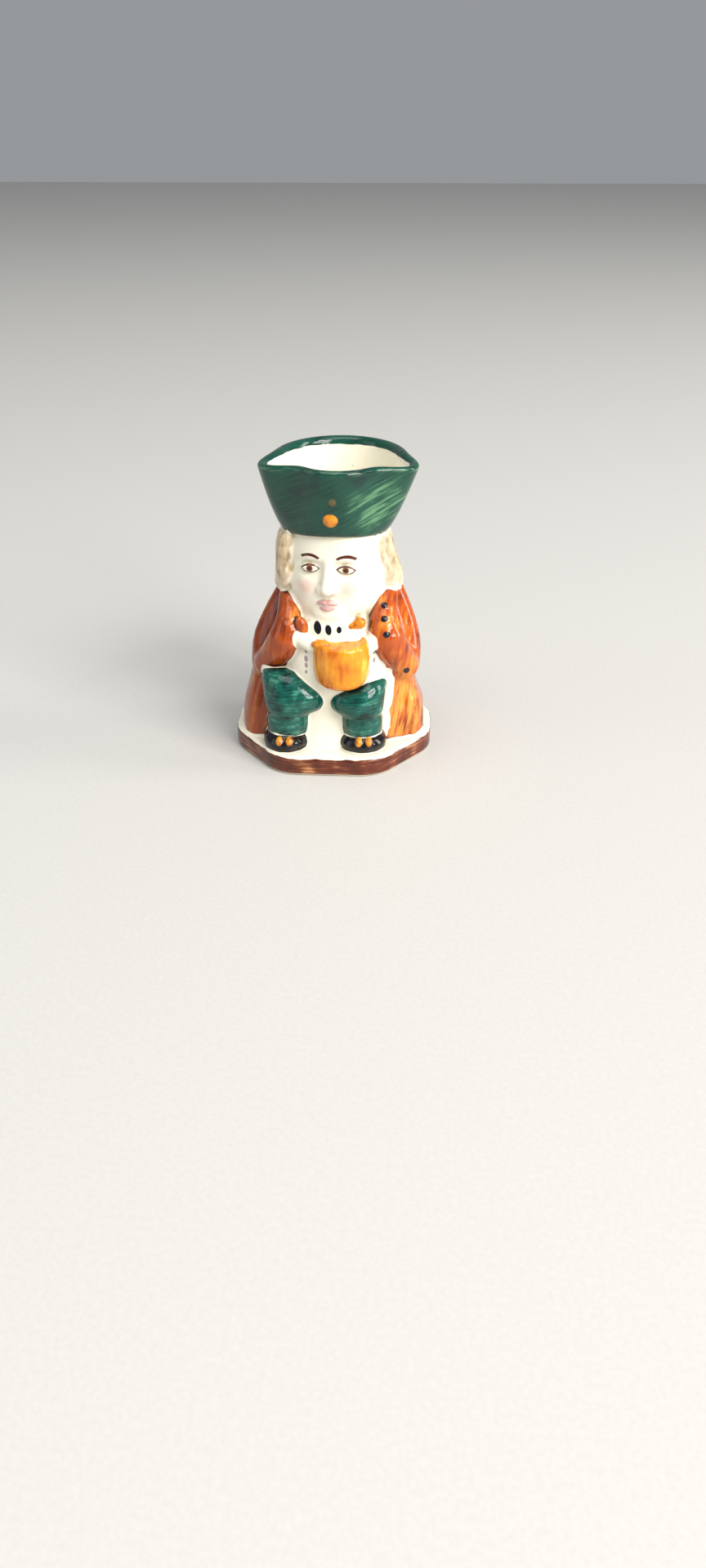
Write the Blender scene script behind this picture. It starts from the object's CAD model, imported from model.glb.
import math

import bpy
import numpy as np
from mathutils import Euler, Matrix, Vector


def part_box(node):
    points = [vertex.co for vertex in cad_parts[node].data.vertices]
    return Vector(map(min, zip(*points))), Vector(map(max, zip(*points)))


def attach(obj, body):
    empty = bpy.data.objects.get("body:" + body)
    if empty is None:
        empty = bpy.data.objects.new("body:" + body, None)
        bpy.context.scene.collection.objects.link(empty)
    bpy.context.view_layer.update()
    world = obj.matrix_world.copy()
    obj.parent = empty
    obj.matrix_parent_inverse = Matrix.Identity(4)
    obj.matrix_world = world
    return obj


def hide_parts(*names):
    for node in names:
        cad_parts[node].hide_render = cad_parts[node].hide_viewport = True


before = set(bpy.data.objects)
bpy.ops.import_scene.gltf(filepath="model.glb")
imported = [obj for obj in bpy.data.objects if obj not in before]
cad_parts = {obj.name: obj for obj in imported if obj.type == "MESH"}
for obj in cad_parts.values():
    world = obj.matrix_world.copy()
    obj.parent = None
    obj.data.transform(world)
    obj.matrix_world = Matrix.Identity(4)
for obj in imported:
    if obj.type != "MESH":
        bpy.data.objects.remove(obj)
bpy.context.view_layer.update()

# The cast figure. Slip is poured into a plaster mould, so every form runs softly into the
# next. Each form here is a distance in millimetres, with heights counted from the top of
# the plinth and the figure facing -Y, and a soft minimum joins them.
PLINTH_HEIGHT = 6.0
JUG_HEIGHT = 88.5
PLINTH_FRONT = -27.4
jug_low, jug_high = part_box("toby_jug")
UNIT = (jug_high[2] - jug_low[2]) / JUG_HEIGHT
SHIFT = Vector((0.0, jug_low[1] - PLINTH_FRONT * UNIT, PLINTH_HEIGHT * UNIT))
WALL = 2.8
FLOOR_TOP = -2.0


def soft_min(a, b, width):
    """The lesser of two distances, with the corner between them filled over a width."""
    share = np.clip(0.5 + 0.5 * (b - a) / width, 0, 1)
    return b + (a - b) * share - width * share * (1 - share)


def soft_max(a, b, width):
    """The greater of two distances, with the edge between them rounded over a width."""
    return -soft_min(-a, -b, width)


def smooth_rows(rows, count=90):
    """Rows read along a Catmull-Rom curve through the given rows."""
    given = np.array(rows, float)
    padded = np.vstack([2 * given[0] - given[1], given, 2 * given[-1] - given[-2]])
    s = np.linspace(0, len(given) - 1, count)
    i = np.minimum(s.astype(int), len(given) - 2)
    t = (s - i)[:, None]
    a, b, c, d = (padded[i + k] for k in range(4))
    return b + 0.5 * t * (c - a + t * (2 * a - 5 * b + 4 * c - d + t * (3 * (b - c) + d - a)))


def near(form, low, high, reach=4.0):
    """The form's own distance close to its box, and the distance to the box further off."""

    def distance(x, y, z):
        gaps = [np.maximum(np.maximum(a - q, q - b), 0) for a, q, b in zip(low, (x, y, z), high)]
        gap = np.sqrt(gaps[0] ** 2 + gaps[1] ** 2 + gaps[2] ** 2)
        close = gap < reach
        gap[close] = form(x[close], y[close], z[close])
        return gap

    return distance


def joined(forms, width):
    """The soft minimum of several forms."""

    def distance(x, y, z):
        total = forms[0](x, y, z)
        for form in forms[1:]:
            total = soft_min(total, form(x, y, z), width)
        return total

    return distance


def stack(rows, slope=0.92):
    """A stack of superellipses: height, middle, half width, front, back and squareness.

    With F the nth root of |x / a|^n + |y / b|^n, the distance is (F - 1) over the length of
    F's gradient, a little less where the sides lean.
    """
    table = np.asarray(rows, float)

    def distance(x, y, z):
        middle, half, front, back, n = (np.interp(z, table[:, 0], table[:, k]) for k in range(1, 6))
        depth = np.where(y < 0, -front, back)
        u, v = np.abs(x - middle) / half, np.abs(y) / depth
        f = (u**n + v**n + 1e-9) ** (1 / n)
        steep = np.hypot((u / f) ** (n - 1) / half, (v / f) ** (n - 1) / depth)
        return slope * (f - 1) / steep

    return distance


def column(stations, cap=2.0):
    """An upright form of ellipses: height, centre x and y and two half widths, with round ends."""
    table = smooth_rows(stations, 60)
    low = (table[:, 1:3] - table[:, 3:5]).min(0)
    high = (table[:, 1:3] + table[:, 3:5]).max(0)
    bottom, top = stations[0][0], stations[-1][0]

    def distance(x, y, z):
        cx, cy, half_x, half_y = (np.interp(z, table[:, 0], table[:, k]) for k in range(1, 5))
        u, v = (x - cx) / half_x, (y - cy) / half_y
        f = np.hypot(u, v) + 1e-6
        side = 0.93 * (f - 1) * f / np.hypot(u / half_x, v / half_y)
        return soft_max(side, np.maximum(bottom - z, z - top), cap)

    return near(distance, (*low, bottom), (*high, top))


def lump(centre, radii, turn=(0, 0, 0)):
    """An ellipsoid: k (k - 1) / m, with k and m the lengths of p / r and p / r^2."""
    spin = np.array(Euler([math.radians(a) for a in turn]).to_matrix())
    centre, radii = np.array(centre, float), np.array(radii, float)

    def distance(x, y, z):
        p = np.stack([x - centre[0], y - centre[1], z - centre[2]], -1) @ spin
        k = np.linalg.norm(p / radii, axis=-1) + 1e-6
        return k * (k - 1) / (np.linalg.norm(p / radii**2, axis=-1) + 1e-6)

    return near(distance, centre - radii.max(), centre + radii.max())


def limb(stations, count=9):
    """A limb of cones along a smooth route of points and radii.

    The distance is that to the nearest cone's axis, less the radius at that place.
    """
    rows = smooth_rows(stations, count)

    def distance(x, y, z):
        p = np.stack([x, y, z], -1)
        best = np.full(x.shape, 1e3)
        for a, b in zip(rows, rows[1:]):
            along = b[:3] - a[:3]
            t = np.clip((p - a[:3]) @ along / (along @ along), 0, 1)
            reach = np.linalg.norm(p - a[:3] - t[..., None] * along, axis=-1)
            best = np.minimum(best, reach - a[3] - t * (b[3] - a[3]))
        return best

    low, high = (rows[:, :3] - rows[:, 3:]).min(0), (rows[:, :3] + rows[:, 3:]).max(0)
    return near(distance, low, high)


# The plinth, which the mould leaves with soft edges, and the recess inside its foot ring.
# Its plan has eight sides with well rounded corners.
PLINTH_CORNERS = ((14.9, -27.4), (30.0, -8.6), (30.0, 9.0), (14.9, 24.0))
PLINTH_CORNER_RADIUS = 12.5
PLINTH_EDGE = 1.1
FOOT_RING = 5.0
FOOT_RECESS = 1.2

plan = np.array([*PLINTH_CORNERS, *((-x, y) for x, y in reversed(PLINTH_CORNERS))])
plan_ahead = np.roll(plan, -1, 0) - plan
plan_ahead /= np.linalg.norm(plan_ahead, axis=1)[:, None]
plan_inward = np.roll(plan_ahead, 1, 0) * -1 + plan_ahead
plan_lean = (np.roll(plan_ahead, 1, 0) * -plan_ahead).sum(1)
plan_inward *= (PLINTH_CORNER_RADIUS / np.sqrt(1 - plan_lean**2))[:, None]
core = plan + plan_inward


def plan_distance(x, y):
    """Distance to the plinth's plan: that to a smaller plan inside it, less the corners' radius.

    The smaller plan's distance is that to its nearest side, and negative within all of them.
    """
    outside, inside = np.full(np.shape(x), 1e3), np.full(np.shape(x), -1e3)
    for start, end in zip(core, np.roll(core, -1, 0)):
        side = end - start
        px, py = x - start[0], y - start[1]
        t = np.clip((px * side[0] + py * side[1]) / (side @ side), 0, 1)
        outside = np.minimum(outside, np.hypot(px - t * side[0], py - t * side[1]))
        inside = np.maximum(inside, (px * side[1] - py * side[0]) / np.linalg.norm(side))
    return np.where(inside > 0, outside, inside) - PLINTH_CORNER_RADIUS


def slab(flat, low, high, z, edge):
    """A plan carried upwards, with rounded top and bottom edges."""
    across = flat + edge
    up = np.abs(z - (low + high) / 2) - (high - low) / 2 + edge
    outside = np.hypot(np.maximum(across, 0), np.maximum(up, 0))
    return outside + np.minimum(np.maximum(across, up), 0) - edge


# The coat, with its neck, sleeves, wide turned-back cuffs and spread skirts. The waistcoat
# bulges out between its edges and runs down to the plinth.
BODY_STATIONS = (
    (-2.5, -0.3, 27.7, -17.0, 22.2, 2.5),
    (2.0, -0.3, 27.6, -17.0, 22.0, 2.5),
    (6.0, -0.2, 27.5, -17.0, 21.4, 2.5),
    (9.5, -0.4, 26.8, -17.0, 20.8, 2.4),
    (14.0, -0.4, 25.5, -17.0, 20.2, 2.3),
    (18.0, 0.2, 25.1, -17.0, 19.8, 2.2),
    (23.0, 0.7, 24.6, -16.6, 19.5, 2.2),
    (28.0, 1.0, 22.9, -15.6, 19.1, 2.1),
    (34.0, 1.5, 20.0, -13.6, 18.4, 2.1),
    (39.0, 1.9, 17.9, -11.5, 17.6, 2.0),
    (43.0, 2.0, 16.8, -9.5, 17.0, 2.0),
    (47.0, 1.9, 15.3, -9.0, 16.6, 2.0),
    (55.0, 1.5, 14.8, -9.0, 16.3, 2.0),
    (64.0, 1.1, 14.6, -9.0, 16.2, 2.0),
)
PLEAT_DEPTH = 0.55
PLEATS = 7
PLEAT_TOP = 13
BODY_TOP = 64
WAISTCOAT_TOP = 40.5
COLLAR = 45.6
LOCK_DEPTH = 0.35
LOCKS = 26
WAISTCOAT_STATIONS = (
    (-2.5, -1.6, 18.0, -21.5, 2.0, 2.4),
    (1.5, -1.6, 17.6, -20.6, 2.0, 2.4),
    (5.0, -1.4, 17.2, -19.2, 2.0, 2.4),
    (10.0, -0.8, 17.4, -18.3, 2.0, 2.4),
    (15.0, 0.2, 18.2, -18.9, 2.0, 2.4),
    (20.0, 1.0, 18.4, -20.0, 2.0, 2.4),
    (25.0, 1.4, 17.4, -20.3, 2.0, 2.4),
    (30.0, 1.4, 15.8, -19.2, 2.0, 2.4),
    (34.0, 1.2, 14.2, -17.9, 2.0, 2.4),
    (37.5, 0.9, 13.0, -16.6, 2.0, 2.4),
    (40.5, 0.9, 11.4, -13.6, 2.0, 2.4),
)
SLEEVES = (
    (
        (-13.6, 1.0, 42.5, 3.0),
        (-17.2, 0.5, 34.0, 4.0),
        (-19.6, -1.5, 27.0, 4.6),
        (-20.2, -5.0, 21.5, 4.2),
    ),
    (
        (17.4, 1.0, 42.5, 3.4),
        (20.0, 0.5, 34.0, 4.2),
        (21.4, -1.5, 27.0, 4.8),
        (21.8, -4.8, 21.5, 4.4),
    ),
)
CUFFS = (
    (
        (-12.6, -5.4, 43.0, 2.8),
        (-12.0, -11.6, 37.2, 4.0),
        (-13.4, -13.4, 31.4, 5.0),
        (-18.8, -8.6, 22.4, 4.4),
    ),
    (
        (16.2, -5.4, 43.6, 3.0),
        (15.2, -11.4, 38.0, 4.2),
        (16.6, -12.8, 32.0, 5.2),
        (21.2, -8.0, 22.2, 4.6),
    ),
)
SKIRTS = ((-22.2, -6.0, 5.0, -1), (21.2, -4.6, 6.3, 1))

body_table = smooth_rows(BODY_STATIONS)
waistcoat_table = smooth_rows(WAISTCOAT_STATIONS)
plain_body = stack(body_table)
waistcoat_side = stack(waistcoat_table)


def pleated_body(x, y, z):
    """The coat's stack, with pleats that fade upwards, and locks of hair above the collar."""
    turn = np.arctan2(x / 27.0, -y / 21.0)
    fade = np.clip((PLEAT_TOP - z) / PLEAT_TOP, 0, 1) * np.clip((-np.cos(turn) + 0.3) / 0.3, 0, 1)
    wave = PLEAT_DEPTH * fade * np.cos(2 * PLEATS * turn)
    rise = np.clip((z - COLLAR + 1) / 3, 0, 1)
    locks = LOCK_DEPTH * rise * np.cos(LOCKS * turn + 0.9 * np.sin(0.3 * z))
    return soft_max(plain_body(x, y, z) - wave - locks, z - BODY_TOP, 1.0)


def waistcoat(x, y, z):
    """The waistcoat's stack, closed at the collar."""
    return soft_max(waistcoat_side(x, y, z), z - WAISTCOAT_TOP, 2.0)


def skirt(x, y, half, s):
    """A spread skirt of the coat, from the plinth up to the cuff."""
    return column(
        (
            (-2.5, x, y, half, 8.0),
            (3.0, x, y, half, 7.8),
            (9.0, x - s * 0.4, y, half * 0.9, 7.0),
            (14.0, x - s * 1.0, y, half * 0.7, 5.6),
            (18.0, x - s * 1.4, y, half * 0.45, 3.6),
        )
    )


sleeves = joined([limb(route) for route in SLEEVES], 0.5)
cuffs = joined([limb(route) for route in CUFFS], 0.5)
skirts = joined([skirt(*row) for row in SKIRTS], 0.5)
brown_tab = lump((-8.2, -15.6, 37.0), (1.8, 1.5, 2.8), (0, -16, 0))
amber_tab = limb(((6.0, -16.2, 37.2, 0.6), (8.7, -15.2, 38.0, 1.6)), 3)
BUTTON_RADIUS = 1.0
CUFF_BUTTONS = ((15.4, -12.4, 42.2), (15.5, -15.2, 39.2), (16.3, -17.2, 35.4))
cuff_buttons = joined([lump(place, (BUTTON_RADIUS,) * 3) for place in CUFF_BUTTONS], 0.3)


def coat(x, y, z):
    """The coat's body, sleeves, cuffs and skirts."""
    total = soft_min(pleated_body(x, y, z), skirts(x, y, z), 1.6)
    total = soft_min(total, sleeves(x, y, z), 1.6)
    return soft_min(total, cuffs(x, y, z), 1.0)


# The legs: breeches that bulge down over the shoes, with the knees drawn together, and
# blunt shoes with a pair of small buckles on each.
BREECHES = (
    (
        (3.4, -12.7, -16.0, 5.4, 5.0),
        (4.3, -12.7, -16.2, 6.1, 6.1),
        (7.5, -12.7, -16.2, 6.4, 6.5),
        (10.2, -12.4, -16.0, 6.2, 6.3),
        (11.4, -12.0, -15.9, 7.2, 7.3),
        (14.0, -11.7, -15.4, 8.1, 7.9),
        (17.5, -12.0, -14.5, 8.2, 7.9),
        (20.5, -12.7, -13.6, 7.7, 7.6),
        (23.0, -13.5, -12.6, 6.2, 6.4),
    ),
    (
        (3.4, 9.4, -16.0, 5.2, 5.0),
        (4.3, 9.4, -16.2, 5.9, 6.0),
        (7.5, 9.4, -16.2, 6.1, 6.4),
        (10.2, 9.2, -16.0, 6.0, 6.2),
        (11.4, 8.8, -15.9, 6.9, 7.1),
        (14.0, 8.5, -15.4, 7.5, 7.6),
        (17.0, 9.2, -14.7, 7.1, 7.4),
        (19.3, 10.2, -13.9, 6.0, 6.6),
        (21.0, 10.9, -13.2, 4.4, 5.0),
    ),
)
KNEES = (((-7.9, -17.4, 15.6), (6.3, 5.3, 4.7), 24), ((5.4, -17.4, 14.7), (5.4, 5.0, 4.4), -20))
SHOES = (((-13.3, -17.4, 1.6), (6.8, 7.5, 4.2), 0.0), ((9.6, -17.0, 1.6), (7.1, 7.3, 4.1), 0.6))
BUCKLE = (0.9, 0.75, 1.4)
BUCKLE_RISE = 2.0
BUCKLE_SPREAD = 1.5


def buckle_places():
    """Two places on the front of each shoe, where the ellipsoid's own formula puts y."""
    places = []
    for (x, y, z), (a, b, c), shift in SHOES:
        for across in (shift - BUCKLE_SPREAD, shift + BUCKLE_SPREAD):
            depth = b * math.sqrt(1 - (across / a) ** 2 - (BUCKLE_RISE / c) ** 2)
            places.append((x + across, y - depth, z + BUCKLE_RISE))
    return places


knees = [lump(centre, radii, (0, turn, 0)) for centre, radii, turn in KNEES]
legs = joined([column(rows, 1.4) for rows in BREECHES] + knees, 1.5)
shoes = joined([lump(centre, radii) for centre, radii, _ in SHOES], 0.5)
buckles = joined([lump(place, BUCKLE, (-40, 0, 0)) for place in buckle_places()], 0.3)

# The drinker's mug, which the two hands hold to the chest, with a thumb over its rim. It is
# turned about its own axis: height share against width share.
MUG_CENTRE = (3.5, -18.4)
MUG_BASE = 20.0
MUG_RADIUS = 8.1
MUG_TALL = 13.8
MUG_PROFILE = smooth_rows(
    ((-0.1, 0.62), (0.05, 0.82), (0.22, 0.93), (0.48, 1.0), (0.76, 0.985), (0.92, 0.94), (1.05, 0.88))
)
MUG_DISH_RADIUS = 5.9
MUG_DISH_DEPTH = 0.5


def turned_mug(x, y, z):
    """The profile's radius at the height, closed below and above and dished on top."""
    r = np.hypot(x - MUG_CENTRE[0], y - MUG_CENTRE[1])
    share = (z - MUG_BASE) / MUG_TALL
    side = 0.95 * (r - MUG_RADIUS * np.interp(share, MUG_PROFILE[:, 0], MUG_PROFILE[:, 1]))
    top = MUG_BASE + MUG_TALL
    outer = soft_max(soft_max(side, MUG_BASE - z, 2.5), z - top, 1.1)
    dish = soft_max(r - MUG_DISH_RADIUS, top - MUG_DISH_DEPTH - z, 0.6)
    return soft_max(outer, -dish, 0.7)


mug = near(
    turned_mug,
    (MUG_CENTRE[0] - MUG_RADIUS, MUG_CENTRE[1] - MUG_RADIUS, MUG_BASE),
    (MUG_CENTRE[0] + MUG_RADIUS, MUG_CENTRE[1] + MUG_RADIUS, MUG_BASE + MUG_TALL),
)
thumb = lump((-2.4, -20.2, 33.2), (2.8, 1.7, 1.3), (0, -8, -18))
hands = joined(
    [
        limb(((-9.8, -15.0, 33.6, 2.3), (-5.4, -17.6, 31.8, 2.1)), 3),
        limb(((13.0, -15.0, 33.2, 2.2), (10.4, -17.6, 30.6, 2.1)), 3),
    ],
    0.5,
)

# The head, turned a little to its own right. The face is a calm one on the proportions that
# drawing books give: the eyes halfway up, the nose and brow at thirds, an eye's width a
# fifth of the face. Side hair hangs from the hat to the collar, and locks run round behind.
HEAD_MIDDLE = (1.5, 0.0)
HEAD_TURN = math.radians(-8)
CHIN = 37.0
HEAD_LENGTH = 33.0
EYE_LINE = CHIN + HEAD_LENGTH / 2
THIRD = HEAD_LENGTH * 0.87 / 3
NOSE_BASE = CHIN + THIRD
BROW = CHIN + 2 * THIRD
MOUTH = CHIN + THIRD * 2 / 3
EYE_WIDTH = 26.0 / 5
FACE_STATIONS = (
    (34.6, 0, 5.0, -6.0, 6.0, 2.2),
    (35.6, 0, 7.6, -9.0, 6.0, 2.2),
    (36.4, 0, 9.8, -11.6, 6.0, 2.2),
    (37.6, 0, 11.8, -13.8, 6.0, 2.2),
    (39.6, 0, 13.3, -15.0, 6.0, 2.2),
    (42.0, 0, 14.3, -15.4, 6.0, 2.2),
    (45.0, 0, 14.9, -15.4, 6.0, 2.2),
    (49.0, 0, 15.1, -15.2, 6.0, 2.2),
    (53.0, 0, 14.9, -14.9, 6.0, 2.2),
    (57.0, 0, 14.5, -15.0, 6.0, 2.2),
    (60.0, 0, 14.2, -14.8, 6.0, 2.2),
    (64.0, 0, 13.6, -14.2, 6.0, 2.2),
)
FACE_SWELLS = (
    (0.0, MOUTH - 2.7, 2.6, 0.9, -0.45),
    (-EYE_WIDTH * 0.92, EYE_LINE + 0.4, 3.2, 2.4, -1.1),
    (EYE_WIDTH * 0.92, EYE_LINE + 0.4, 3.2, 2.4, -1.1),
    (-EYE_WIDTH, BROW + 0.2, 3.3, 1.2, 0.6),
    (EYE_WIDTH, BROW + 0.2, 3.3, 1.2, 0.6),
    (-6.6, NOSE_BASE + 1.4, 3.6, 3.2, 1.1),
    (6.6, NOSE_BASE + 1.4, 3.6, 3.2, 1.1),
    (0.0, MOUTH, 4.4, 2.6, 0.5),
)
HAIR = (
    (
        (43.6, -13.6, -2.6, 2.2, 4.2),
        (45.0, -13.6, -2.6, 3.0, 5.8),
        (48.5, -13.0, -2.8, 3.4, 6.6),
        (53.0, -12.8, -3.0, 3.3, 6.8),
        (58.0, -12.8, -3.2, 3.1, 7.0),
        (63.0, -12.2, -3.2, 2.4, 7.0),
    ),
    (
        (42.8, 16.4, 0.6, 2.8, 4.6),
        (44.4, 16.2, 0.2, 4.0, 6.6),
        (47.6, 15.8, -0.2, 4.5, 7.6),
        (51.0, 15.2, -0.8, 4.0, 7.8),
        (56.0, 14.2, -1.6, 3.5, 7.6),
        (60.0, 13.6, -2.0, 3.2, 7.6),
        (63.0, 13.0, -2.0, 2.4, 7.4),
    ),
)

face_mass = stack(smooth_rows(FACE_STATIONS))
nose = limb(
    (
        (0.0, -14.2, BROW - 0.6, 1.0),
        (0.0, -14.9, EYE_LINE - 0.6, 1.15),
        (0.0, -15.9, NOSE_BASE + 4.0, 1.4),
        (0.0, -16.8, NOSE_BASE + 1.7, 1.75),
    )
)
nostrils = [lump((s * 1.95, -15.9, NOSE_BASE + 1.2), (1.1, 1.35, 1.0)) for s in (-1, 1)]
lids = [lump((s * EYE_WIDTH, -13.3, EYE_LINE), (2.75, 1.75, 1.55)) for s in (-1, 1)]
upper_lip = limb(
    (
        (-3.1, -15.3, MOUTH + 0.05, 0.35),
        (-1.1, -16.3, MOUTH + 0.85, 0.62),
        (0.0, -16.4, MOUTH + 0.65, 0.58),
        (1.1, -16.3, MOUTH + 0.85, 0.62),
        (3.1, -15.3, MOUTH + 0.05, 0.35),
    ),
    11,
)
lower_lip = limb(
    (
        (-2.5, -15.3, MOUTH - 0.35, 0.4),
        (0.0, -16.2, MOUTH - 1.0, 0.85),
        (2.5, -15.3, MOUTH - 0.35, 0.4),
    ),
    9,
)
chin = lump((0.0, -13.6, CHIN + 2.9), (4.2, 2.9, 2.7))


def face_in_place(x, y, z):
    """The head's mass in its own turned axes, with soft hollows and swells pushed along y."""
    c, s = math.cos(HEAD_TURN), math.sin(HEAD_TURN)
    u = (x - HEAD_MIDDLE[0]) * c + (y - HEAD_MIDDLE[1]) * s
    v = -(x - HEAD_MIDDLE[0]) * s + (y - HEAD_MIDDLE[1]) * c
    push = np.zeros_like(u)
    for across, level, wide, tall, rise in FACE_SWELLS:
        push += rise * np.exp(-(((u - across) / wide) ** 2) - ((z - level) / tall) ** 2)
    push *= np.clip(-v / 6, 0, 1)
    total = soft_max(face_mass(u, v + push, z), 34.6 - z, 2.5)
    total = soft_min(total, chin(u, v, z), 2.4)
    total = soft_min(total, nose(u, v, z), 1.5)
    for part in nostrils:
        total = soft_min(total, part(u, v, z), 0.9)
    for part in lids:
        total = soft_min(total, part(u, v, z), 0.5)
    total = soft_min(total, upper_lip(u, v, z), 0.7)
    return soft_min(total, lower_lip(u, v, z), 0.5)


face = near(face_in_place, (-16, -20, 34), (19, 8, 63))
side_hair = joined([column(rows, 3.0) for rows in HAIR], 0.5)


def hair(x, y, z):
    """The side hair, with slanting locks that wave from the hat to the collar."""
    return side_hair(x, y, z) - 0.3 * np.cos(2.3 * y + 0.35 * z + 1.2 * np.sin(0.35 * z))



# The cocked hat, whose brim is turned up all round into the jug's mouth. Its radius is read
# round the head: it swells to the rim, runs out to a pinched corner at each side and draws
# in to a waist between the corners and the front.
HAT_EDGE = {"height": 61.4, "front_rise": 1.6, "middle": 0.9, "side": 14.9, "front": 15.6, "back": 16.4}
HAT_RIM = {"height": 82.5, "middle": 2.2, "side": 19.2, "front": 20.8, "back": 21.4}
HAT_CORNER = {"angle": math.radians(67), "spread": math.radians(19), "reach": 4.7, "droop": 0.8}
HAT_WAIST = {"angle": math.radians(35), "spread": math.radians(15), "depth": 1.3}
HAT_SWELL = 0.72
HAT_BUTTONS = ((0.6, -17.3, 68.6, 2.0), (1.2, -18.6, 73.9, 1.0))


def hat_oval(side, ahead, size):
    """The radius of the hat's plain oval in a direction, with its own depth before and behind."""
    depth = np.where(ahead > 0, size["front"], size["back"])
    return 1 / np.hypot(side / size["side"], ahead / depth)


def hat_terms(x, y, z):
    """The distance inside the hat's side, and the heights above its edge and its rim."""
    rough = np.clip((z - HAT_EDGE["height"]) / (HAT_RIM["height"] - HAT_EDGE["height"]), 0, 1)
    middle = HAT_EDGE["middle"] + (HAT_RIM["middle"] - HAT_EDGE["middle"]) * rough
    r = np.hypot(x - middle, y) + 1e-6
    ahead, side = -y / r, (x - middle) / r
    turn = np.abs(np.arctan2(side, ahead))
    low = hat_oval(side, ahead, HAT_EDGE)
    high = hat_oval(side, ahead, HAT_RIM)
    corner = np.exp(-(((turn - HAT_CORNER["angle"]) / HAT_CORNER["spread"]) ** 2))
    waist = np.exp(-(((turn - HAT_WAIST["angle"]) / HAT_WAIST["spread"]) ** 2))
    high += HAT_CORNER["reach"] * corner - HAT_WAIST["depth"] * waist
    edge = HAT_EDGE["height"] + HAT_EDGE["front_rise"] * np.maximum(ahead, 0) ** 2
    rim = HAT_RIM["height"] - HAT_CORNER["droop"] * corner
    share = np.clip((z - edge) / (rim - edge), 0.015, 1.1)
    reach = low + (high - low) * share**HAT_SWELL
    return 0.9 * (r - reach), z - edge, z - rim


def hat_outside(x, y, z):
    """The hat's side, closed by its rim above and its edge on the brow below."""
    side, above_edge, above_rim = hat_terms(x, y, z)
    return soft_max(soft_max(side, above_rim, 1.5), -above_edge, 0.9)


hat = near(hat_outside, (-24, -22, 60), (27, 22.5, 83))
hat_knob, hat_bump = (lump((x, y, z), (r, r * 0.65, r), (14, 0, 0)) for x, y, z, r in HAT_BUTTONS)


# The space inside, which the poured-off slip leaves: a wall's thickness in from the coat,
# then from the hat, and open through the top of the hat.
RELIEF_ALLOWANCE = 1.2
NECK_TOP = 67
MOUTH_FLOOR = 1.5
FLOOR_ROUNDING = 4.0
levels = np.linspace(FLOOR_TOP, BODY_TOP, 60)
inner_rows = [np.interp(levels, body_table[:, 0], body_table[:, k]) for k in range(1, 6)]
inner_rows = np.stack([levels, *inner_rows], 1)
waistcoat_front = np.interp(levels, waistcoat_table[:, 0], waistcoat_table[:, 3])
face_front = np.interp(levels, [row[0] for row in FACE_STATIONS], [row[3] for row in FACE_STATIONS])
inner_rows[:, 2] -= WALL
inner_rows[:, 3] = np.minimum(waistcoat_front, face_front) + RELIEF_ALLOWANCE + WALL
inner_rows[:, 4] -= WALL
inner_body = stack(inner_rows)


def hollow(x, y, z):
    """The poured-out space: the inner body up to the neck, and the hat's inside above it."""
    side, above_edge, _ = hat_terms(x, y, z)
    mouth = np.maximum(side + WALL, MOUTH_FLOOR - above_edge)
    body = soft_max(inner_body(x, y, z), FLOOR_TOP - z, FLOOR_ROUNDING)
    return soft_min(np.maximum(body, z - NECK_TOP), mouth, 1.6)


def forms_at(x, y, z):
    """Each painted group's own distance."""
    return {
        "coat": np.minimum(coat(x, y, z), brown_tab(x, y, z)),
        "waistcoat": waistcoat(x, y, z),
        "green": legs(x, y, z),
        "black": shoes(x, y, z),
        "amber": np.minimum(mug(x, y, z), thumb(x, y, z)),
        "hands": hands(x, y, z),
        "face": face(x, y, z),
        "hair": hair(x, y, z),
        "hat": soft_min(hat(x, y, z), hat_bump(x, y, z), 0.5),
        "trim": np.minimum(hat_knob(x, y, z), np.minimum(buckles(x, y, z), amber_tab(x, y, z))),
        "studs": cuff_buttons(x, y, z),
    }


# How widely each group runs into what it stands on, in millimetres.
MEETING = {
    "waistcoat": 0.9,
    "green": 0.9,
    "black": 0.5,
    "hands": 0.9,
    "amber": 0.8,
    "face": 1.6,
    "hair": 0.9,
    "hat": 0.6,
    "trim": 0.35,
    "studs": 0.3,
}
PLINTH_MEETING = 0.9
RIM_ROUNDING = 1.5


def clay(x, y, z):
    """The whole jug: the forms softly joined on the plinth, less the inside and the recess."""
    forms = forms_at(x, y, z)
    total = forms["coat"]
    for name, width in MEETING.items():
        total = soft_min(total, forms[name], width)
    flat = plan_distance(x, y)
    total = np.maximum(total, FLOOR_TOP - z)
    total = soft_min(total, slab(flat, -PLINTH_HEIGHT, 0.0, z, PLINTH_EDGE), PLINTH_MEETING)
    total = soft_max(total, -hollow(x, y, z), RIM_ROUNDING)
    recess = np.maximum(flat + FOOT_RING + 0.6, z + PLINTH_HEIGHT - FOOT_RECESS)
    return soft_max(total, -recess, 0.8)


# The surface is one closed grid: round the jug in one direction, and in the other out from
# under the foot, up the outside, over the rim and down the inside to the floor.
AXIS = (1.0, 0.0)
COLUMNS = 300
ROWS_OUTSIDE = 262
UNDER_SHARES = (0.0, 0.35, 0.6, 0.76, 0.79, 0.82, 0.88, 0.93, 0.965)
ROWS_RIM = 9
ROWS_INSIDE = 28
ROWS_FLOOR = 6
FRONT_CROWDING = 0.35

steady = np.linspace(-math.pi, math.pi, COLUMNS, endpoint=False)
around = steady - FRONT_CROWDING * np.sin(steady)


def at(r, z):
    """The point at a radius from the grid's axis, for each column's angle."""
    angle = np.broadcast_to(around[:, None], r.shape)
    return AXIS[0] + r * np.sin(angle), AXIS[1] - r * np.cos(angle), np.broadcast_to(z, r.shape).copy()


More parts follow.
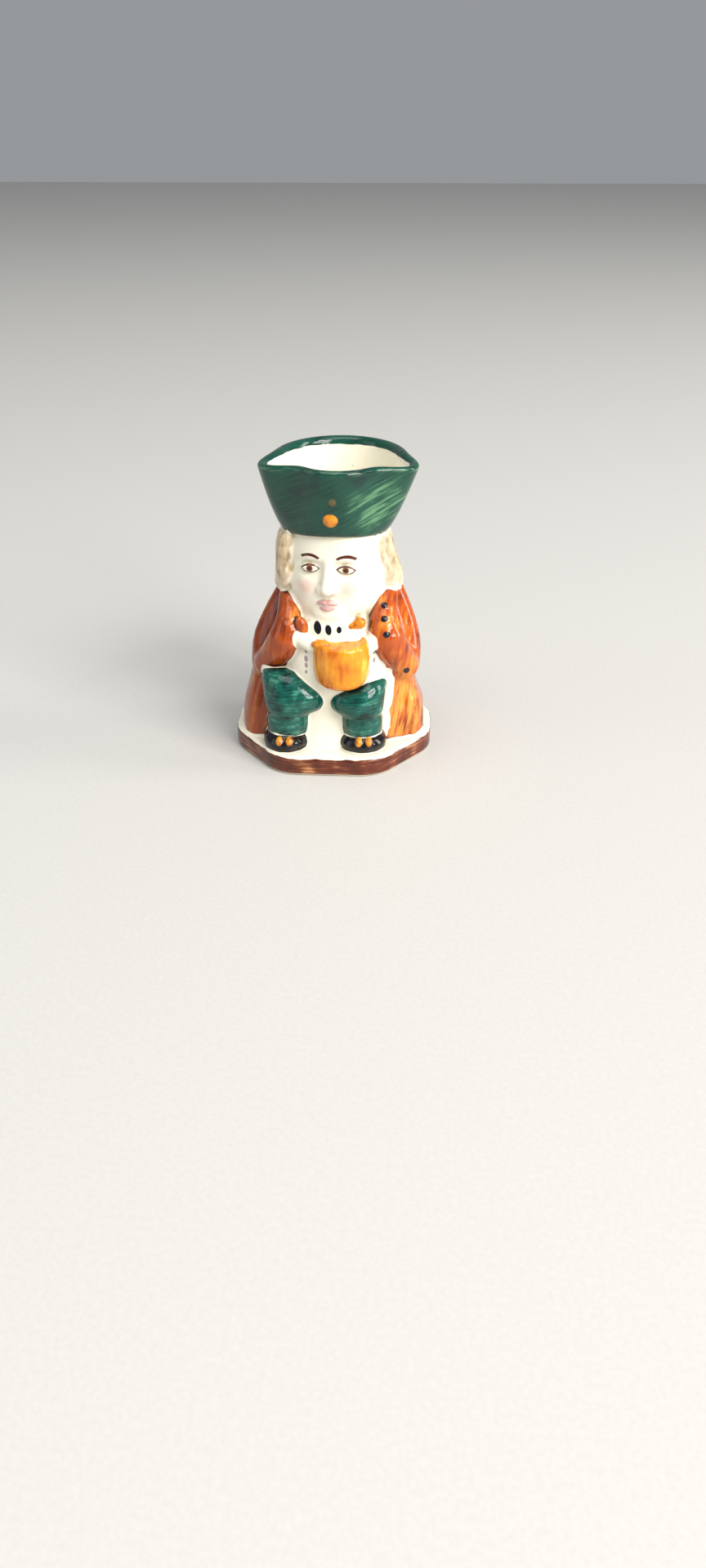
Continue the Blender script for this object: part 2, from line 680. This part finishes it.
def rim_height():
    """The rim's height at each column's angle."""
    x, y, z = at(np.full((COLUMNS, 1), 21.0), 80.0)
    return 80.0 - hat_terms(x, y, z)[2][:, 0]


def cast(z, start, sign, steps=40):
    """Radii where rays from a starting radius first meet the clay, by stepping on distance."""
    r = np.full(z.shape, float(start))
    for _ in range(steps):
        r = r + sign * 0.8 * clay(*at(r, z))
        r = np.clip(r, 2, 45)
    return r


def spread_evenly(line, rows):
    """Reads each column's line again at even steps of its own length.

    The lengths are first averaged over nearby columns, so that the rows stay level.
    """
    steps = np.linalg.norm(np.diff(line, axis=1), axis=-1)
    for _ in range(3):
        steps = sum(np.roll(steps, k, 0) for k in range(-7, 8)) / 15
    run = np.concatenate([np.zeros((len(line), 1)), np.cumsum(steps, 1)], 1)
    run = run / run[:, -1:] * 0.999 + np.arange(len(line))[:, None]
    wanted = (np.linspace(0, 0.999, rows)[None, :] + np.arange(len(line))[:, None]).ravel()
    columns = [np.interp(wanted, run.ravel(), line[..., k].ravel()) for k in range(3)]
    return np.stack(columns, -1).reshape(len(line), rows, 3)


def slope_of(points, step=0.04):
    """Four readings at the corners of a small tetrahedron give the distance's gradient."""
    corners = np.array(((1, -1, -1), (-1, -1, 1), (-1, 1, -1), (1, 1, 1)), float)
    readings = [clay(*(points + step * corner).T)[:, None] * corner for corner in corners]
    return sum(readings) / (4 * step)


def settle(grid, rounds):
    """Evens the grid along its own surface, then moves each point onto the clay again."""
    for _ in range(rounds):
        pull = (np.roll(grid, 1, 0) + np.roll(grid, -1, 0)) / 2 - grid
        pull[:, 1:-1] += (grid[:, 2:] + grid[:, :-2]) / 2 - grid[:, 1:-1]
        pull[:, (0, -1)] = 0
        grid = grid + 0.42 * pull
        flat = grid.reshape(-1, 3)
        slope = slope_of(flat)
        size = (slope**2).sum(1) + 0.02
        shift = np.clip(clay(*flat.T) / size, -0.8, 0.8)
        grid = (flat - shift[:, None] * slope).reshape(grid.shape)
    return grid


rim = rim_height()
climb = np.linspace(0, 1, 420)
z_outside = (-PLINTH_HEIGHT + PLINTH_EDGE) + (rim[:, None] - 1.2 + PLINTH_HEIGHT - PLINTH_EDGE) * climb
outside = np.stack(at(cast(z_outside, 40, -1), z_outside), -1)
outside = spread_evenly(outside, ROWS_OUTSIDE)
z_inside = FLOOR_TOP + 3.0 + (rim[:, None] - 1.6 - FLOOR_TOP - 3.0) * np.linspace(1, 0, 60)
inside = np.stack(at(cast(z_inside, 4, 1), z_inside), -1)
inside = spread_evenly(inside, ROWS_INSIDE)

axis_line = np.array((*AXIS, 0.0))
edge_out, edge_in = outside[:, -1:], inside[:, :1]
arch = np.linspace(0, math.pi, ROWS_RIM + 2)[None, 1:-1, None]
over_rim = (edge_out + edge_in) / 2 + (edge_out - edge_in) / 2 * np.cos(arch)
over_rim[..., 2] += 1.3 * np.sin(arch[..., 0])
under_share = np.array(UNDER_SHARES)
foot = outside[:, :1]
under = axis_line + (foot - axis_line) * under_share[None, :, None]
under[..., 2] = np.where(under_share < 0.8, -PLINTH_HEIGHT + FOOT_RECESS, -PLINTH_HEIGHT)
floor_share = np.linspace(0.9, 0.0, ROWS_FLOOR)
base = inside[:, -1:]
floor = axis_line + (base - axis_line) * floor_share[None, :, None]
floor[..., 2] = FLOOR_TOP
grid = np.concatenate([under[:, 1:], outside, over_rim, inside, floor[:, :-1]], 1)
grid = settle(grid, 15)


def closed_mesh(name, grid, low_pole, high_pole):
    """Faces between neighbouring columns and rows, with a fan of triangles at each pole."""
    columns, rows = grid.shape[:2]
    index = np.arange(columns * rows).reshape(columns, rows)
    ahead = np.roll(index, -1, 0)
    quads = np.stack([index[:, :-1], ahead[:, :-1], ahead[:, 1:], index[:, 1:]], -1).reshape(-1, 4)
    first, last = columns * rows, columns * rows + 1
    low_fan = np.stack([ahead[:, 0], index[:, 0], np.full(columns, first)], -1)
    high_fan = np.stack([index[:, -1], ahead[:, -1], np.full(columns, last)], -1)
    points = np.vstack([grid.reshape(-1, 3), low_pole, high_pole])
    mesh = bpy.data.meshes.new(name)
    faces = [*quads.tolist(), *low_fan.tolist(), *high_fan.tolist()]
    mesh.from_pydata(points * UNIT + np.array(SHIFT), [], faces)
    mesh.shade_smooth()
    made = bpy.data.objects.new(name, mesh)
    bpy.context.scene.collection.objects.link(made)
    return made, points


low_pole = (*AXIS, -PLINTH_HEIGHT + FOOT_RECESS)
high_pole = (*AXIS, FLOOR_TOP)
jug, points = closed_mesh("jug_body", grid, low_pole, high_pole)
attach(jug, "root")
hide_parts("toby_jug")

# Where each glaze colour was brushed on. Each number says how far, in millimetres, a point
# lies inside a painted form, measured to the form that meets it.
RIM_BAND = {"front": 0.2, "back": 2.2}
SKIRT_GAP = 2.0
PLINTH_BARE = 0.3
PAINT_REACH = 6.0


def brushed_on(points, inner):
    """The depth inside each painted form: the nearest other form's distance less its own.

    Inner says which points are over the rim, where only the hat's band is painted.
    """
    x, y, z = points.T
    forms = forms_at(x, y, z)
    forms["plinth"] = slab(plan_distance(x, y), -PLINTH_HEIGHT, 0.0, z, PLINTH_EDGE)
    brushed = {}
    for name in ("hat", "coat", "green", "black", "amber", "hair", "trim", "studs", "face"):
        others = [forms[other] for other in forms if other not in (name, "trim", "studs")]
        depth = np.clip(np.min(others, 0) - forms[name], -PAINT_REACH, PAINT_REACH)
        brushed[name] = np.where(inner, -PAINT_REACH, depth)
    turn = np.arctan2(x - HAT_RIM["middle"], -y)
    share = (1 - np.cos(turn)) / 2
    band = RIM_BAND["front"] + (RIM_BAND["back"] - RIM_BAND["front"]) * share
    above_rim = hat_terms(x, y, z)[2]
    inner_band = np.clip(band + above_rim, -PAINT_REACH, PAINT_REACH)
    brushed["hat"] = np.where(inner, inner_band, brushed["hat"])
    brushed["plinth"] = np.where(inner, -PAINT_REACH, -PLINTH_BARE - z)
    collar = COLLAR + 0.7 * np.cos(LOCKS / 2 * np.arctan2(x / 27.0, -y / 21.0))
    brushed["hair"] = np.maximum(brushed["hair"], np.minimum(brushed["coat"], z - collar))
    brushed["coat"] = np.minimum(brushed["coat"], collar - z)
    beside_leg = np.where((x > 0) & (z < 24), forms["green"] - SKIRT_GAP, PAINT_REACH)
    beside_leg = np.clip(beside_leg, -PAINT_REACH, PAINT_REACH)
    brushed["coat"] = np.minimum(brushed["coat"], beside_leg)
    return brushed


def store(mesh, values):
    """Keeps an array for each name as a number at every vertex."""
    for name, array in values.items():
        layer = mesh.attributes.new(name, "FLOAT", "POINT")
        layer.data.foreach_set("value", array.astype(np.float32))


def relief(points, reach=1.3):
    """How hollow and how proud the clay is: what the distance lacks a little way out and in."""
    slope = slope_of(points)
    out = slope / np.linalg.norm(slope, axis=1)[:, None]
    crease = 1 - clay(*(points + reach * out).T) / reach
    ridge = 1 + clay(*(points - reach * out).T) / reach
    return {"crease": np.clip(crease, 0, 1), "ridge": np.clip(ridge, 0, 1)}


row_of = np.arange(COLUMNS * grid.shape[1]) % grid.shape[1]
over_top = row_of >= len(UNDER_SHARES) - 1 + ROWS_OUTSIDE + ROWS_RIM // 2
store(jug.data, brushed_on(points, np.append(over_top, (False, True))))
store(jug.data, relief(points))

# The strap handle, pulled from a rod of clay and stuck on with slip at the hat and at the
# coat's waist. The photo doesn't show it. Its section is an oval that flares at both ends.
HANDLE_WIDTH = 7.2
HANDLE_THICKNESS = 5.8
FINGER_DEPTH = 12.4
HANDLE_SINK = 1.2
HANDLE_TOP = (17.4, 66.0)
HANDLE_FOOT = (19.7, 19.0)
HANDLE_MIDDLE = 0.8


def handle_route(count):
    """A smooth curve, in y and z, out from the hat, down and back in to the coat."""
    drop = HANDLE_TOP[1] - HANDLE_FOOT[1]
    outer = max(HANDLE_TOP[0], HANDLE_FOOT[0]) + FINGER_DEPTH + HANDLE_THICKNESS / 2
    stations = (
        (HANDLE_TOP[0] - HANDLE_SINK, 0.0),
        (HANDLE_TOP[0] + 0.30 * FINGER_DEPTH, -0.03),
        (outer - 0.18 * FINGER_DEPTH, 0.08),
        (outer, 0.30),
        (outer - 0.10 * FINGER_DEPTH, 0.58),
        (outer - 0.48 * FINGER_DEPTH, 0.82),
        (HANDLE_FOOT[0] + 0.12 * FINGER_DEPTH, 0.96),
        (HANDLE_FOOT[0] - HANDLE_SINK, 1.0),
    )
    return smooth_rows([(y, HANDLE_TOP[1] - share * drop) for y, share in stations], count)


def handle_grid(count, sides):
    """An oval carried along the route, square to it, and wider towards the two ends."""
    line = handle_route(count)
    ahead = np.gradient(line, axis=0)
    ahead /= np.linalg.norm(ahead, axis=1)[:, None]
    flare = 1 + 0.28 * np.abs(np.linspace(-1, 1, count)) ** 6
    t = np.linspace(0, 2 * math.pi, sides, endpoint=False)[:, None]
    side = 0.5 * HANDLE_WIDTH * flare * np.cos(t) + HANDLE_MIDDLE
    out = 0.5 * HANDLE_THICKNESS * flare * np.sin(t)
    return np.stack([side, line[:, 0] - ahead[:, 1] * out, line[:, 1] + ahead[:, 0] * out], -1)


# The ends are moved back into the wall wherever they would show inside the jug.
END_COVER = 0.6
handle_points = handle_grid(110, 44)
handle_points[..., 1] += np.clip(END_COVER - hollow(*np.moveaxis(handle_points, -1, 0)), 0, 3)
ends = handle_points[:, 0].mean(0), handle_points[:, -1].mean(0)
handle, points = closed_mesh("jug_handle", handle_points, *ends)
blank = np.zeros(len(points))
for name in ("coat", "green", "black", "amber", "hair", "trim", "studs", "plinth", "face"):
    store(handle.data, {name: blank - PAINT_REACH})
store(handle.data, {"hat": blank + PAINT_REACH, "crease": blank, "ridge": blank})
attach(handle, "root")

# The glaze. The biscuit is brushed by hand with thin coloured glazes, thick at a stroke's
# edge and bare cream between two colours, and one clear glossy coat is fired over it all.
glaze = bpy.data.materials.new("painted_glaze")
glaze.use_nodes = True
tree = glaze.node_tree
surface = tree.nodes["Principled BSDF"]


def node(kind, inputs=None, output=0, **settings):
    """A shader node with its settings and its inputs, each a number or another's output."""
    made = tree.nodes.new(kind)
    for key, setting in settings.items():
        setattr(made, key, setting)
    for key, given in (inputs or {}).items():
        if isinstance(given, bpy.types.NodeSocket):
            tree.links.new(given, made.inputs[key])
        else:
            made.inputs[key].default_value = given
    return made.outputs[output]


def maths(operation, a, b=0.0):
    return node("ShaderNodeMath", {0: a, 1: b}, operation=operation)


def ramp(value, low, high):
    """0 below low, 1 above high and a smooth step between."""
    inputs = {"Value": value, "From Min": low, "From Max": high}
    return node("ShaderNodeMapRange", inputs, interpolation_type="SMOOTHSTEP")


def screen(red, green, blue):
    """A colour as a screen shows it, 0 to 255, made linear."""
    shown = [level / 255 for level in (red, green, blue)]
    return (*(c / 12.92 if c < 0.0404 else ((c + 0.055) / 1.055) ** 2.4 for c in shown), 1)


def tint(under, over, share):
    """One colour laid over another by a share."""
    made = tree.nodes.new("ShaderNodeMix")
    made.data_type = "RGBA"
    for socket, given in zip((made.inputs[0], made.inputs[6], made.inputs[7]), (share, under, over)):
        if isinstance(given, bpy.types.NodeSocket):
            tree.links.new(given, socket)
        else:
            socket.default_value = given
    return made.outputs[2]


def noise(vector, scale, detail=2.0, roughness=0.5):
    inputs = {"Vector": vector, "Scale": scale, "Detail": detail, "Roughness": roughness}
    return node("ShaderNodeTexNoise", inputs)


def local(vector, location=(0, 0, 0), rotation=(0, 0, 0), scale=(1, 1, 1)):
    """A place read in axes of its own, which are moved, turned and stretched."""
    inputs = {"Vector": vector, "Location": location, "Rotation": rotation, "Scale": scale}
    return node("ShaderNodeMapping", inputs, vector_type="TEXTURE")


def brush(vector, turn, length, width, deep=None):
    """Noise drawn out along a brush's stroke, turned in the figure's front.

    Deep is its size from front to back, which shows at the sides; left out, it is the length.
    """
    axes = local(vector, rotation=(0, math.radians(-turn), 0), scale=(length, deep or length, width))
    return noise(axes, 1.0, 3.0, 0.6)


def attribute(name):
    return node("ShaderNodeAttribute", output="Fac", attribute_name=name)


def length_of(vector):
    return node("ShaderNodeVectorMath", {0: vector}, output="Value", operation="LENGTH")


object_place = node("ShaderNodeTexCoord", output="Object")
place = local(object_place, SHIFT, scale=(UNIT,) * 3)
apart = tree.nodes.new("ShaderNodeSeparateXYZ")
tree.links.new(place, apart.inputs[0])
across, behind, height = apart.outputs
in_front = maths("LESS_THAN", behind, -5.0)
wobble = maths("SUBTRACT", noise(place, 0.32, 0.6), 0.5)
crease, ridge = attribute("crease"), attribute("ridge")


def painted(name, gap=0.35, sway=1.4, soft=0.14):
    """1 inside a painted form, with a bare gap at its edge that sways with the brush."""
    depth = maths("ADD", attribute(name), maths("MULTIPLY", wobble, sway))
    return ramp(depth, gap - soft, gap + soft)


def small(name):
    """1 on a small applied lump, which the brush covers to its foot."""
    return ramp(attribute(name), -0.12, 0.05)


def shaded(thin, middle, thick, strokes, pools, share=0.5, low=0.38, high=0.6):
    """A brushed colour: thin where strokes and pools are low together, thick where high."""
    both = maths("ADD", maths("MULTIPLY", strokes, share), maths("MULTIPLY", pools, 1 - share))
    halfway = (low + high) / 2
    light = tint(thin, middle, ramp(both, low - 0.05, halfway))
    return tint(light, thick, ramp(both, halfway, high + 0.05))


def spot(x, z, half_x, half_z, turn=0.0, axes=None):
    """How far inside an oval on the front: its least half width times 1 - |p / half|."""
    oval = local(axes or place, (x, 0, z), (0, math.radians(-turn), 0), (half_x, 1e4, half_z))
    inside = maths("SUBTRACT", 1.0, length_of(oval))
    return maths("MULTIPLY", inside, min(half_x, half_z))


def any_of(depths):
    """The deepest of several."""
    total = depths[0]
    for depth in depths[1:]:
        total = maths("MAXIMUM", total, depth)
    return total


def dabbed(depth, sway=0.5, soft=0.08):
    """1 where a dab of colour lies, on the front alone."""
    swayed = maths("ADD", depth, maths("MULTIPLY", wobble, sway))
    return maths("MULTIPLY", ramp(swayed, -soft, soft), in_front)


CREAM = screen(244, 238, 218)
CREAM_POOL = screen(188, 176, 138)
colour = tint(CREAM, CREAM_POOL, ramp(crease, 0.3, 0.95))
pools = noise(place, 0.13, 2.0)

hair_strokes = brush(place, 84, 7.0, 1.0, 1.2)
hair_wash = shaded(
    screen(232, 216, 186),
    screen(196, 168, 128),
    screen(140, 104, 66),
    hair_strokes,
    noise(place, 0.3),
    0.4,
)
hair_cover = maths("ADD", maths("MULTIPLY", ramp(height, 43.0, 52.0), 0.45), 0.4)
colour = tint(colour, hair_wash, maths("MULTIPLY", painted("hair", 0.6, 3.0, 0.5), hair_cover))

coat_strokes = brush(place, 80, 13.0, 1.5, 5.0)
coat_paint = shaded(
    screen(222, 132, 44),
    screen(178, 78, 22),
    screen(106, 36, 14),
    coat_strokes,
    noise(place, 0.1, 2.0),
    0.5,
    0.4,
    0.6,
)
shade_side = ramp(maths("SUBTRACT", maths("MULTIPLY", wobble, 10.0), across), 2.0, 24.0)
coat_paint = tint(coat_paint, screen(112, 42, 16), maths("MULTIPLY", shade_side, 0.5))
thin_side = ramp(maths("ADD", spot(21.5, 9.0, 8.0, 13.0), maths("MULTIPLY", wobble, 6.0)), -1.0, 5.0)
thin_side = maths("MULTIPLY", maths("MULTIPLY", thin_side, in_front), ramp(coat_strokes, 0.62, 0.42))
coat_paint = tint(coat_paint, screen(236, 158, 66), maths("MULTIPLY", thin_side, 0.8))
coat_paint = tint(coat_paint, screen(78, 20, 10), ramp(crease, 0.2, 0.7))
colour = tint(colour, coat_paint, painted("coat", 0.45))

green_strokes = brush(place, 5, 5.0, 0.55)
green_paint = shaded(
    screen(70, 138, 116), screen(10, 82, 70), screen(3, 40, 40), green_strokes, noise(place, 0.3), 0.45
)
green_paint = tint(green_paint, screen(3, 26, 28), ramp(crease, 0.25, 0.8))
colour = tint(colour, green_paint, painted("green", 0.25, 1.0))

mug_strokes = brush(place, 88, 9.0, 1.1)
mug_paint = shaded(
    screen(250, 186, 60),
    screen(232, 142, 24),
    screen(200, 104, 14),
    mug_strokes,
    noise(place, 0.16),
    0.4,
)
mug_paint = tint(mug_paint, screen(132, 58, 10), ramp(crease, 0.3, 0.9))
colour = tint(colour, mug_paint, painted("amber", 0.2, 0.8))

black_paint = tint(screen(14, 11, 14), screen(54, 32, 24), ramp(noise(place, 0.8), 0.55, 0.75))
colour = tint(colour, black_paint, painted("black", 0.1, 0.8))
colour = tint(colour, screen(24, 18, 28), small("studs"))

worn = maths("MULTIPLY", ramp(spot(14.5, 72.0, 11.0, 8.0, 25), -3.0, 7.5), in_front)
hat_strokes = maths("SUBTRACT", brush(place, 26, 11.0, 0.8), 0.5)
hat_strokes = maths("MULTIPLY", hat_strokes, maths("ADD", maths("MULTIPLY", worn, 0.75), 0.4))
hat_strokes = maths("ADD", hat_strokes, 0.5)
hat_pools = maths("SUBTRACT", noise(place, 0.14, 2.0), maths("MULTIPLY", worn, 0.5))
hat_pools = maths("ADD", maths("MULTIPLY", hat_pools, 0.6), 0.3)
hat_paint = shaded(
    screen(92, 142, 102),
    screen(13, 72, 56),
    screen(4, 42, 38),
    hat_strokes,
    hat_pools,
    0.6,
)
hat_paint = tint(hat_paint, screen(3, 30, 28), ramp(crease, 0.3, 0.9))
rim_wear = ramp(maths("MULTIPLY", ridge, brush(place, 10, 7.0, 1.2)), 0.22, 0.42)
hat_paint = tint(hat_paint, screen(150, 186, 140), maths("MULTIPLY", rim_wear, 0.5))
colour = tint(colour, hat_paint, painted("hat", 0.12, 0.5))
bump_wash = ramp(spot(HAT_BUTTONS[1][0], HAT_BUTTONS[1][2], 1.2, 1.2), -0.1, 0.5)
bump_wash = maths("MULTIPLY", maths("MULTIPLY", bump_wash, in_front), 0.5)
colour = tint(colour, screen(124, 100, 48), bump_wash)
trim_paint = tint(screen(224, 140, 34), screen(150, 78, 18), ramp(noise(place, 0.6), 0.45, 0.7))
colour = tint(colour, trim_paint, small("trim"))

plinth_strokes = brush(place, 0, 9.0, 0.45)
plinth_paint = shaded(
    screen(196, 136, 88),
    screen(104, 42, 20),
    screen(42, 18, 12),
    plinth_strokes,
    noise(place, 0.16),
    0.6,
)
colour = tint(colour, plinth_paint, painted("plinth", 0.2, 0.8))

# The face's paint, in the same brush lines as the rest: brows, the lids' edges, brown eyes,
# lips and a blush, on the same proportions as the modelled face.
head_place = local(place, (*HEAD_MIDDLE, 0), (0, 0, HEAD_TURN))
FACE_BROWN = screen(84, 34, 22)
LIP_PINK = screen(206, 150, 150)
BLUSH = screen(226, 170, 160)
BROW_RADIUS = 4.6
LID_HALF_WIDTH = 2.6
LID_HALF_HEIGHT = 1.1
LINE = 0.2
BROW_LINE = 0.42
IRIS_RADIUS = 0.95
PUPIL_RADIUS = 0.42


def ring_depth(x, z, radius):
    """How far inside a circle on the face."""
    return maths("SUBTRACT", radius, length_of(local(head_place, (x, 0, z), scale=(1, 1e4, 1))))


def line_on(depth, half_width):
    """A painted line along a form's edge."""
    return maths("SUBTRACT", half_width, maths("ABSOLUTE", depth))


lid_radius = (LID_HALF_WIDTH**2 + LID_HALF_HEIGHT**2) / (2 * LID_HALF_HEIGHT)
lid_sink = lid_radius - LID_HALF_HEIGHT
brows, lid_lines, irises, pupils = [], [], [], []
for side in (-1, 1):
    eye = side * EYE_WIDTH
    arc = line_on(ring_depth(eye, BROW - 3.3, BROW_RADIUS), BROW_LINE)
    brows.append(maths("MINIMUM", arc, spot(eye, BROW + 1.2, 3.1, 1.6, axes=head_place)))
    upper = ring_depth(eye, EYE_LINE - lid_sink, lid_radius)
    lower = ring_depth(eye, EYE_LINE + lid_sink, lid_radius)
    lens = maths("MINIMUM", upper, lower)
    lid_lines.append(line_on(lens, LINE))
    irises.append(maths("MINIMUM", ring_depth(eye, EYE_LINE + 0.1, IRIS_RADIUS), lens))
    pupils.append(ring_depth(eye, EYE_LINE + 0.1, PUPIL_RADIUS))
blush = any_of([spot(side * 6.6, NOSE_BASE + 1.8, 3.2, 2.4, axes=head_place) for side in (-1, 1)])
lips = any_of(
    [
        spot(-1.3, MOUTH + 0.75, 1.9, 0.8, 12, head_place),
        spot(1.3, MOUTH + 0.75, 1.9, 0.8, -12, head_place),
        spot(0.0, MOUTH - 0.85, 2.3, 0.85, 0, head_place),
    ]
)
on_face = ramp(attribute("face"), -0.2, 0.2)


def face_tint(under, over, depth, soft=0.07, share=1.0, sway=0.25):
    """Face paint laid on the modelled face alone."""
    laid = maths("MULTIPLY", maths("MULTIPLY", dabbed(depth, sway, soft), on_face), share)
    return tint(under, over, laid)


colour = face_tint(colour, BLUSH, maths("SUBTRACT", blush, 0.6), 1.2, 0.55)
colour = face_tint(colour, LIP_PINK, lips, 0.12, 0.85)
colour = face_tint(colour, FACE_BROWN, any_of(brows))
colour = face_tint(colour, FACE_BROWN, any_of(lid_lines))
colour = face_tint(colour, screen(120, 70, 38), any_of(irises), sway=0.1)
colour = face_tint(colour, screen(30, 16, 14), any_of(pupils), sway=0.1)

# Dabs of black and violet: the neckcloth's ends, the waistcoat's two rows of buttons and one
# button on the skirt.
neckcloth = [spot(-3.5, 36.8, 1.05, 1.8, 8), spot(-0.3, 36.3, 1.0, 1.5, 10), spot(2.7, 36.4, 0.75, 0.9)]
colour = tint(colour, screen(16, 14, 20), dabbed(any_of(neckcloth)))
coat_dot = spot(22.2, 22.4, 0.95, 1.05)
colour = tint(colour, screen(40, 18, 26), dabbed(coat_dot, 0.2))
violet = [spot(-6.8, z, 0.5, 0.75) for z in (30.0, 27.8, 25.8, 24.0)]
violet += [spot(12.7, z, 0.45, 0.7) for z in (29.4, 27.0)]
colour = tint(colour, screen(110, 84, 120), maths("MULTIPLY", dabbed(any_of(violet), 0.8), 0.7))

# A few dark specks of iron in the clay, and a bare foot ring that was wiped before firing.
specks = node("ShaderNodeTexVoronoi", {"Vector": place, "Scale": 0.22}, output="Distance")
colour = tint(colour, screen(70, 48, 36), ramp(specks, 0.035, 0.02))
bare = ramp(height, -PLINTH_HEIGHT + 0.75, -PLINTH_HEIGHT + 0.55)
colour = tint(colour, screen(226, 214, 188), bare)

tree.links.new(colour, surface.inputs["Base Color"])
gloss = maths("ADD", 0.07, maths("MULTIPLY", noise(place, 0.35), 0.08))
tree.links.new(maths("ADD", gloss, maths("MULTIPLY", bare, 0.6)), surface.inputs["Roughness"])
surface.inputs["IOR"].default_value = 1.5
ripple = maths("ADD", noise(place, 0.28, 2.0), maths("MULTIPLY", noise(place, 1.4, 2.0), 0.16))
bump = node("ShaderNodeBump", {"Height": ripple, "Strength": 0.35, "Distance": 0.4 * UNIT})
tree.links.new(bump, surface.inputs["Normal"])
for piece in (jug, handle):
    piece.data.materials.append(glaze)

# A plain pale sheet of paper on a table, for the jug to stand on. It is a stage and isn't
# part of the jug.
TABLE_SIZE = 6.0
table_mesh = bpy.data.meshes.new("table")
half = TABLE_SIZE / 2
table_corners = [(-half, -half, 0), (half, -half, 0), (half, half, 0), (-half, half, 0)]
table_mesh.from_pydata(table_corners, [], [(0, 1, 2, 3)])
table = bpy.data.objects.new("table", table_mesh)
bpy.context.scene.collection.objects.link(table)
paper = bpy.data.materials.new("pale_paper")
paper.use_nodes = True
tree = paper.node_tree
paper_shader = tree.nodes["Principled BSDF"]
paper_shader.inputs["Roughness"].default_value = 0.6
fibre = noise(node("ShaderNodeTexCoord", output="Object"), 900.0, 3.0)
paper_colour = tint(screen(196, 194, 190), screen(208, 206, 202), fibre)
tree.links.new(paper_colour, paper_shader.inputs["Base Color"])
table_mesh.materials.append(paper)

# Soft studio light: a window of four panes and a tall one to the right, a large screen
# overhead and a low one to the left, with a pale room round them.
aim = Vector((0, SHIFT.y, 0.045))


def softbox(name, azimuth, elevation, distance, width, height, power, tone):
    """A flat light on a sphere about the jug, turned to face it."""
    light = bpy.data.lights.new(name, "AREA")
    light.shape = "RECTANGLE"
    light.size, light.size_y = width, height
    light.energy = power
    light.color = tone
    a, e = math.radians(azimuth), math.radians(elevation)
    offset = Vector((math.sin(a) * math.cos(e), -math.cos(a) * math.cos(e), math.sin(e)))
    made = bpy.data.objects.new(name, light)
    made.location = aim + distance * offset
    made.rotation_euler = offset.to_track_quat("Z", "Y").to_euler()
    bpy.context.scene.collection.objects.link(made)
    return made


PANE = 0.52
PANE_GAP = 0.10
LIGHTS_AWAY = 1.8
DAYLIGHT = (1.0, 0.98, 0.94)
pane_step = math.degrees((PANE + PANE_GAP) / 2 / LIGHTS_AWAY)
for across_by in (-1, 1):
    for up_by in (-1, 1):
        turn = 48 + across_by * pane_step
        lift = 32 + up_by * pane_step
        name = f"window_{across_by}_{up_by}"
        softbox(name, turn, lift, LIGHTS_AWAY, PANE, PANE, 9.6, DAYLIGHT)
softbox("tall_window", 92, 20, LIGHTS_AWAY, 0.44, 1.3, 13.0, DAYLIGHT)
softbox("overhead", -10, 78, LIGHTS_AWAY, 1.4, 1.4, 16.0, (1.0, 0.99, 0.97))
softbox("left_fill", -70, 20, LIGHTS_AWAY, 0.8, 1.5, 3.5, (0.93, 0.96, 1.0))
world = bpy.data.worlds.new("room")
bpy.context.scene.world = world
world.use_nodes = True
world.node_tree.nodes["Background"].inputs["Color"].default_value = screen(214, 218, 222)
world.node_tree.nodes["Background"].inputs["Strength"].default_value = 0.45

bpy.context.scene.view_settings.view_transform = "Standard"

# The camera stands where the photo's did: a little to the right, and 30 degrees above.
CAMERA_TURN = math.radians(3)
CAMERA_PITCH = math.radians(30)
CAMERA_BACK = 330.9
CAMERA_UP = 172.7
CAMERA_ACROSS = 5.8
PHOTO_HEIGHT = 1920
FOCAL_PIXELS = 1442
level = Vector((-math.sin(CAMERA_TURN), math.cos(CAMERA_TURN), 0))
right = Vector((math.cos(CAMERA_TURN), math.sin(CAMERA_TURN), 0))
camera = bpy.data.cameras.new("camera")
camera.sensor_fit = "VERTICAL"
camera.sensor_height = 36
camera.lens = 36 * FOCAL_PIXELS / PHOTO_HEIGHT
camera.clip_start = 0.01
camera_object = bpy.data.objects.new("camera", camera)
base_middle = Vector((0, SHIFT.y, 0))
camera_offset = right * CAMERA_ACROSS - level * CAMERA_BACK + Vector((0, 0, CAMERA_UP))
camera_object.location = base_middle + UNIT * camera_offset
camera_object.rotation_euler = (math.pi / 2 - CAMERA_PITCH, 0, CAMERA_TURN)
bpy.context.scene.collection.objects.link(camera_object)
bpy.context.scene.camera = camera_object
